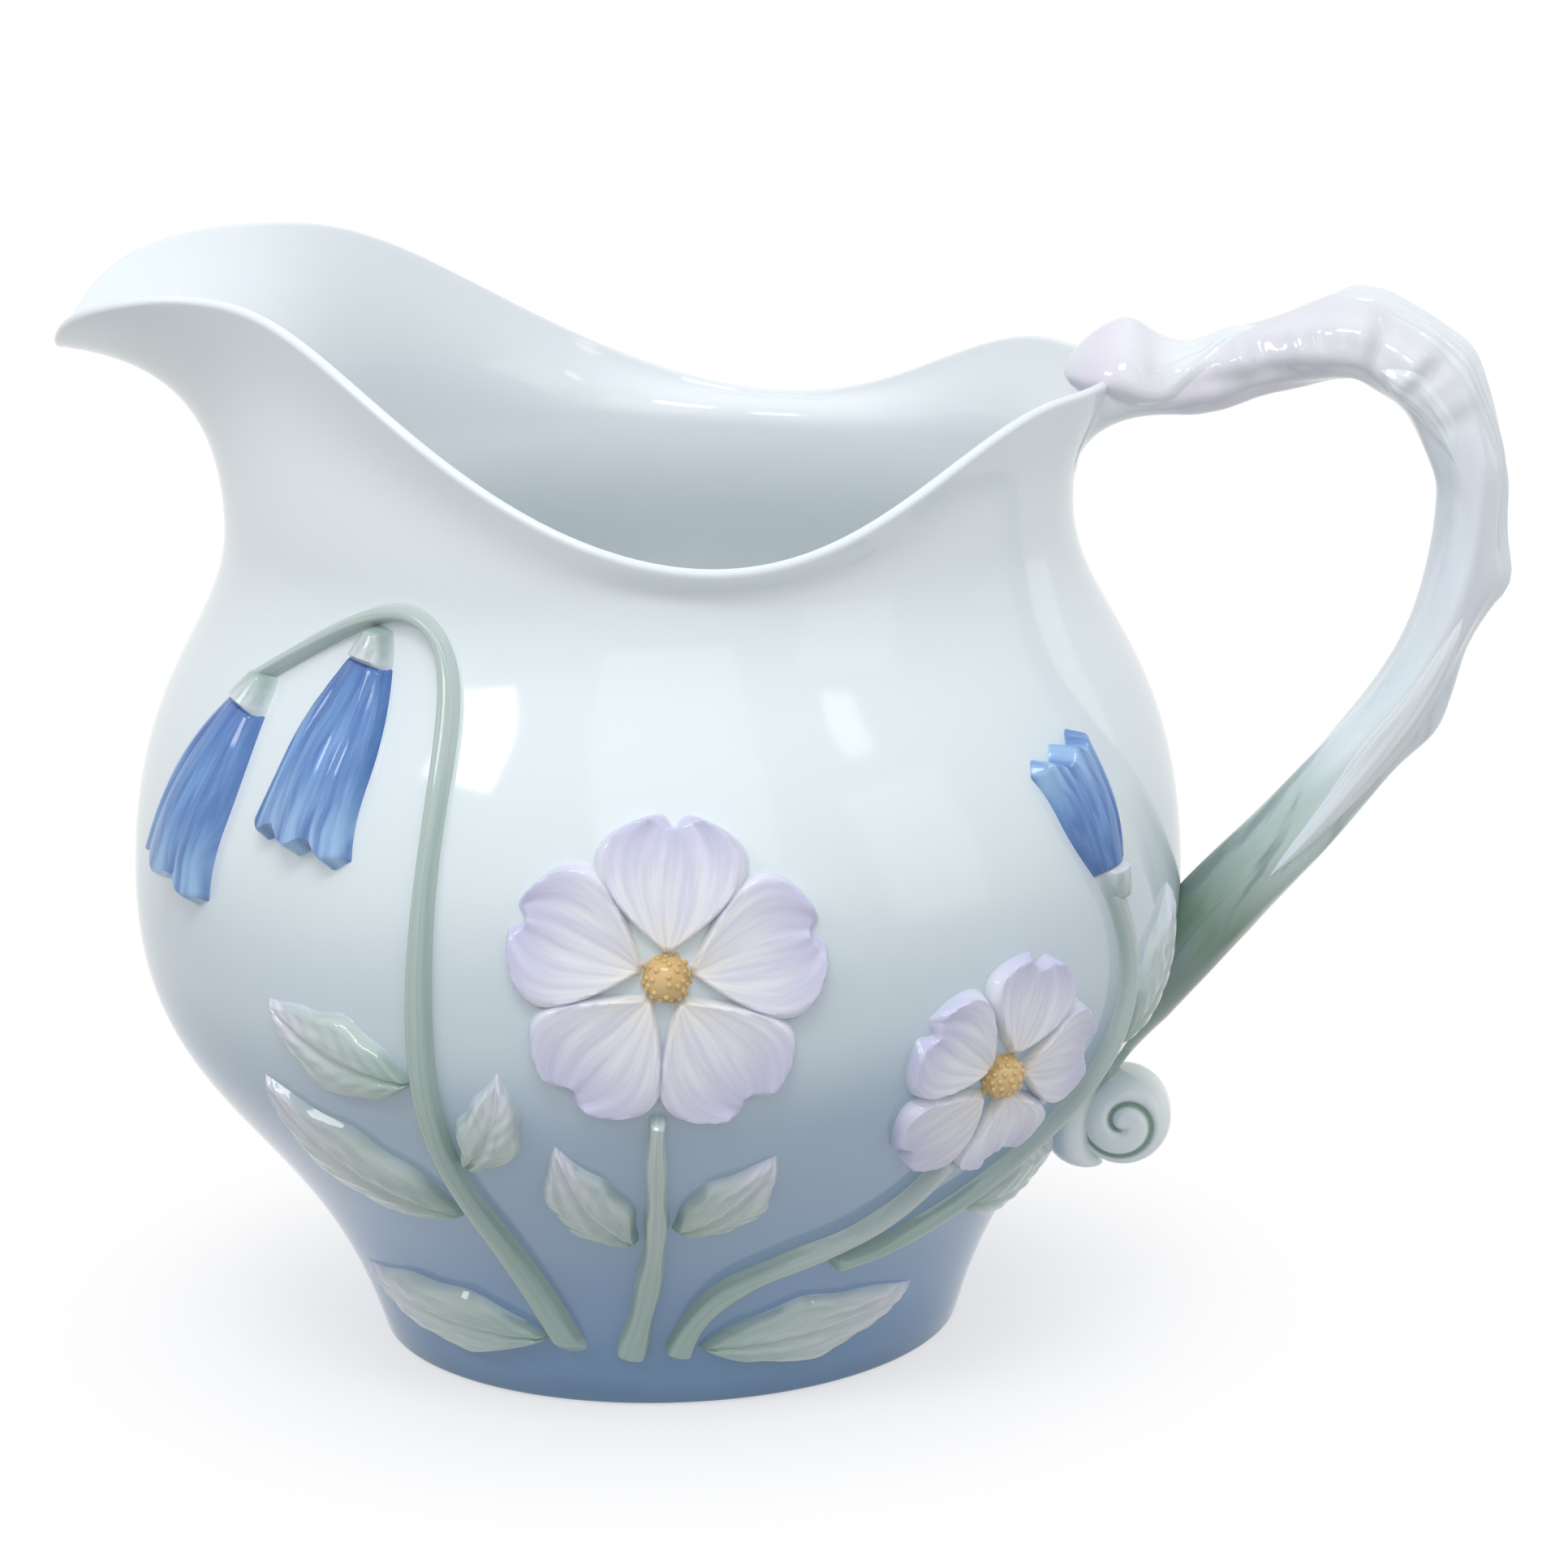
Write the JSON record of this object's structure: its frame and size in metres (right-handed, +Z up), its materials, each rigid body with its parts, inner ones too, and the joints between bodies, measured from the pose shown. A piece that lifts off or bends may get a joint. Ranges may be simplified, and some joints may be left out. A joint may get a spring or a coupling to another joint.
{
  "type": "cream jug",
  "caption": "Round-bellied porcelain cream jug with a pulled pouring lip, a branch loop handle ending in a curl, and applied flower relief on its wall.",
  "frame": {"origin": "middle of the foot ring, on the surface that the jug stands on", "axes": "+Z up, +X toward the handle, -X toward the pouring lip, -Y toward the main flower spray"},
  "size_m": [0.1474, 0.1119, 0.1128],
  "materials": {
    "pale_glaze": "gloss glaze over hand painting",
    "foot_glaze": "gloss glaze over hand painting",
    "branch_glaze": "gloss glaze over hand painting",
    "lilac_glaze": "gloss glaze over hand painting",
    "leaf_glaze": "gloss glaze over hand painting",
    "bell_glaze": "gloss glaze over hand painting",
    "eye_glaze": "gloss glaze over hand painting"
  },
  "bodies": {
    "root": {"body_shell": "pale_glaze", "foot_ring": "foot_glaze", "handle_stem": "branch_glaze", "handle_scroll": "branch_glaze", "rim_petal": "lilac_glaze", "handle_sheath_1": "lilac_glaze", "handle_sheath_2": "lilac_glaze", "handle_sheath_3": "lilac_glaze", "blossom_petals_1": "lilac_glaze", "blossom_petals_2": "lilac_glaze", "blossom_petals_3": "lilac_glaze", "blossom_petals_4": "lilac_glaze", "stalk_1": "leaf_glaze", "stalk_2": "leaf_glaze", "stalk_3": "leaf_glaze", "stalk_4": "leaf_glaze", "stalk_5": "leaf_glaze", "stalk_6": "leaf_glaze", "stalk_7": "leaf_glaze", "leaf_1": "leaf_glaze", "leaf_2": "leaf_glaze", "leaf_3": "leaf_glaze", "leaf_4": "leaf_glaze", "leaf_5": "leaf_glaze", "leaf_6": "leaf_glaze", "leaf_7": "leaf_glaze", "leaf_8": "leaf_glaze", "leaf_9": "leaf_glaze", "leaf_10": "leaf_glaze", "leaf_11": "leaf_glaze", "leaf_12": "leaf_glaze", "leaf_13": "leaf_glaze", "leaf_14": "leaf_glaze", "leaf_15": "leaf_glaze", "leaf_16": "leaf_glaze", "bell_cap_1": "leaf_glaze", "bell_cap_2": "leaf_glaze", "bell_cap_3": "leaf_glaze", "bell_cap_4": "leaf_glaze", "bell_1": "bell_glaze", "bell_2": "bell_glaze", "bell_3": "bell_glaze", "bell_4": "bell_glaze", "blossom_eye_1": "eye_glaze", "blossom_eye_2": "eye_glaze", "blossom_eye_3": "eye_glaze", "blossom_eye_4": "eye_glaze"}
  },
  "joints": []
}
